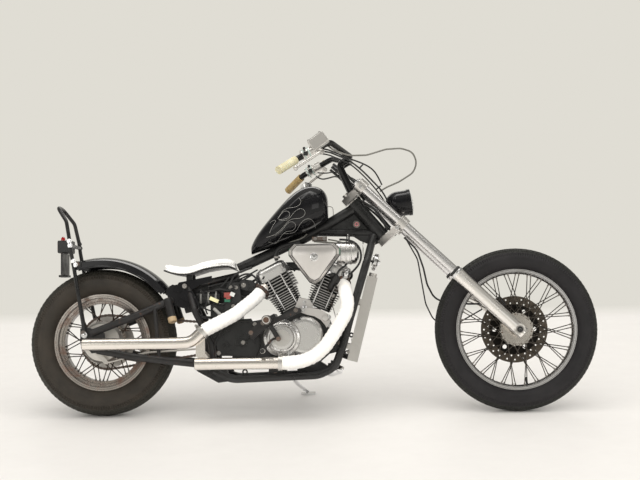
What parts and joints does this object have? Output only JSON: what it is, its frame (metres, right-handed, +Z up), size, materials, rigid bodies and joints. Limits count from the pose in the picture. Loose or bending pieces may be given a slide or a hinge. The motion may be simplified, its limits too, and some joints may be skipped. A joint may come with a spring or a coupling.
{
  "type": "chopper motorcycle",
  "caption": "Long-fork chopper motorcycle with a V-twin engine, low white seat, sissy bar, wire wheels and wrapped exhausts, leaning on its side stand.",
  "frame": {"origin": "middle of the whole bike's box, on the floor it stands on", "axes": "+X forward, +Y to the rider's left, +Z up; the bike leans about 10 degrees towards +Y on its side stand"},
  "size_m": [2.402, 0.7864, 1.1928],
  "materials": {
    "tyre_rubber": "matte",
    "polished_rim": "polished",
    "weathered_rim": "worn",
    "dark_steel": "worn",
    "frame_black": "gloss",
    "gloss_black": "gloss",
    "satin_alloy": "satin",
    "polished_alloy": "polished",
    "chrome_plate": "polished",
    "engine_black": "satin",
    "brake_black": "satin",
    "drum_grey": "worn",
    "exhaust_silver": "satin",
    "seat_white": "satin",
    "grip_cream": "satin",
    "lamp_red": "gloss",
    "cable_grey": "satin"
  },
  "bodies": {
    "frame": {"frame_backbone": "frame_black", "frame_cradle_right": "frame_black", "frame_cradle_left": "frame_black", "swingarm": "frame_black", "rear_axle": "chrome_plate", "rear_strut": "satin_alloy", "frame_rear": "frame_black", "engine_cases": "engine_black", "oil_filter": "chrome_plate", "cylinders": "engine_black", "cylinder_heads": "polished_alloy", "clutch_cover": "polished_alloy", "front_cover": "polished_alloy", "left_cover": "polished_alloy", "exhaust_rear": "exhaust_silver", "exhaust_front": "exhaust_silver", "air_cleaner": "polished_alloy", "canister": "chrome_plate", "intake": "engine_black", "radiator": "satin_alloy", "horn": "chrome_plate", "battery_box": "frame_black", "coil": "frame_black", "fuel_tank": "gloss_black", "fuel_cap": "chrome_plate", "seat": "seat_white", "seat_pan": "frame_black", "rear_fender": "gloss_black", "sissy_bar": "frame_black", "tail_light": "lamp_red", "plate_bracket": "frame_black", "foot_controls_right": "frame_black", "foot_controls_left": "frame_black", "side_plate": "engine_black", "chain": "dark_steel", "drive_sprocket": "dark_steel", "rear_brake": "drum_grey"},
    "steering": {"lower_yoke": "satin_alloy", "upper_yoke": "satin_alloy", "fork_tubes": "chrome_plate", "fork_sliders": "satin_alloy", "front_axle": "chrome_plate", "handlebar": "frame_black", "grips": "grip_cream", "brake_control": "satin_alloy", "clutch_control": "satin_alloy", "headlight": "gloss_black", "front_caliper": "brake_black", "front_brake_hose": "cable_grey", "control_cables": "cable_grey"},
    "front_wheel": {"front_tyre": "tyre_rubber", "front_rim": "polished_rim", "front_disc": "dark_steel"},
    "rear_wheel": {"rear_tyre": "tyre_rubber", "rear_rim": "weathered_rim", "rear_sprocket": "dark_steel"},
    "side_stand": {"side_stand": "chrome_plate"}
  },
  "joints": [
    {"name": "steering_turn", "type": "hinge", "parent": "frame", "child": "steering", "pos_m": [0.33238, -0.03953, 0.70217], "axis": [-0.6501, 0.1319, 0.7483], "range_deg": [-35, 35]},
    {"name": "front_wheel_spin", "type": "hinge", "parent": "steering", "child": "front_wheel", "pos_m": [0.85812, -0.10364, 0.33859], "axis": [0, 0.9848, -0.1736], "continuous": true},
    {"name": "rear_wheel_spin", "type": "hinge", "parent": "frame", "child": "rear_wheel", "pos_m": [-0.89062, -0.10918, 0.30718], "axis": [0, 0.9848, -0.1736], "continuous": true},
    {"name": "side_stand_fold", "type": "hinge", "parent": "frame", "child": "side_stand", "pos_m": [-0.10062, 0.0314, 0.11391], "axis": [0.093, 0.5296, 0.8431], "range_deg": [0, 100.8]}
  ]
}
